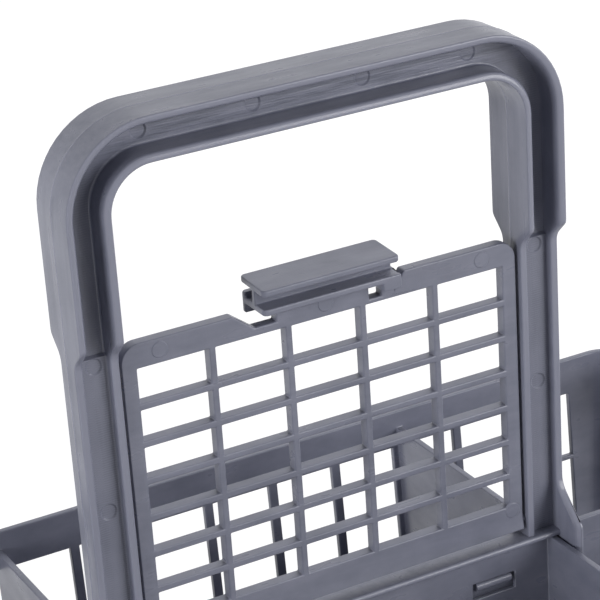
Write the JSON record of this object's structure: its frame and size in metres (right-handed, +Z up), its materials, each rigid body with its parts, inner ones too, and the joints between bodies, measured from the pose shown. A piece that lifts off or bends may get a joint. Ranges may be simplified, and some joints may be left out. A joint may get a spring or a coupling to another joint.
{
  "type": "dishwasher cutlery basket",
  "caption": "Open lattice cutlery basket with divided compartments, a tall carrying arch and a hinged grid lid that stands between the arch's legs.",
  "frame": {"origin": "on the surface that the basket stands on, under its middle", "axes": "+X along the basket's length, +Y from the lid's side to the back, +Z up to the arch"},
  "size_m": [0.24, 0.131, 0.2367],
  "materials": {
    "grey_polypropylene": "satin, as moulded"
  },
  "bodies": {
    "basket": {"basket_body": "grey_polypropylene", "carry_handle": "grey_polypropylene"},
    "lid": {"grid_lid": "grey_polypropylene"}
  },
  "joints": [
    {"name": "lid_hinge", "type": "hinge", "parent": "basket", "child": "lid", "pos_m": [0, -0.00115, 0.1217], "axis": [1, 0, 0], "range_deg": [0, 90]}
  ]
}
